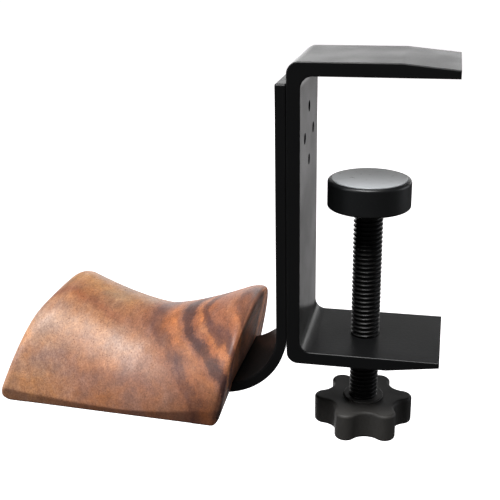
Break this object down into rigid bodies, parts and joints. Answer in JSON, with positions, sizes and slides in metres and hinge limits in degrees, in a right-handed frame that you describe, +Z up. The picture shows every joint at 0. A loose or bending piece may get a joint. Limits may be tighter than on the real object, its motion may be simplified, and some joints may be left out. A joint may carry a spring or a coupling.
{
  "type": "headphone hook",
  "caption": "Desk-edge clamp hook for headphones: black steel C bracket with star-knob clamp screw and swivelling pad, and a walnut saddle on a J-shaped strap.",
  "frame": {"origin": "middle of the desk face under the top arm, on the clamp screw's axis", "axes": "+Z up, +X towards the tips of the clamp arms, Y across the strips"},
  "size_m": [0.1202, 0.0536, 0.1039],
  "materials": {
    "powder_coat": "satin black powder coat on steel",
    "black_screws": "black oxide",
    "walnut": "oiled walnut, satin",
    "screw_steel": "black oxide, oiled",
    "knob_plastic": "fine spark-eroded grain",
    "pad_metal": "black anodised, satin",
    "facing_rubber": "fine matt grain",
    "washer_nylon": "natural nylon",
    "spring_steel": "plain spring steel"
  },
  "bodies": {
    "frame": {"clamp_bracket": "powder_coat", "hook_strap": "powder_coat", "strap_screws": "black_screws", "saddle": "walnut", "saddle_screws": "black_screws"},
    "carriage": {"thrust_washer": "washer_nylon"},
    "screw": {"clamp_screw": "screw_steel", "star_knob": "knob_plastic", "knob_cap": "knob_plastic", "pad_retainer": "spring_steel"},
    "pad": {"pressure_pad": "pad_metal", "pad_facing": "facing_rubber"}
  },
  "joints": [
    {"name": "clamp_travel", "type": "slide", "parent": "frame", "child": "carriage", "axis": [0, 0, 1], "range_m": [-0.0366, 0.0153]},
    {"name": "screw_turn", "type": "hinge", "parent": "carriage", "child": "screw", "pos_m": [0, 0, -0.06], "axis": [0, 0, 1], "range_deg": [-10542, 4406.4]},
    {"name": "pad_swivel", "type": "hinge", "parent": "carriage", "child": "pad", "pos_m": [0, 0, -0.032], "axis": [0, 0, 1], "continuous": true}
  ],
  "couplings": [
    {"joint": "screw_turn", "follows": "clamp_travel", "rad_per_m": 5026.5}
  ]
}
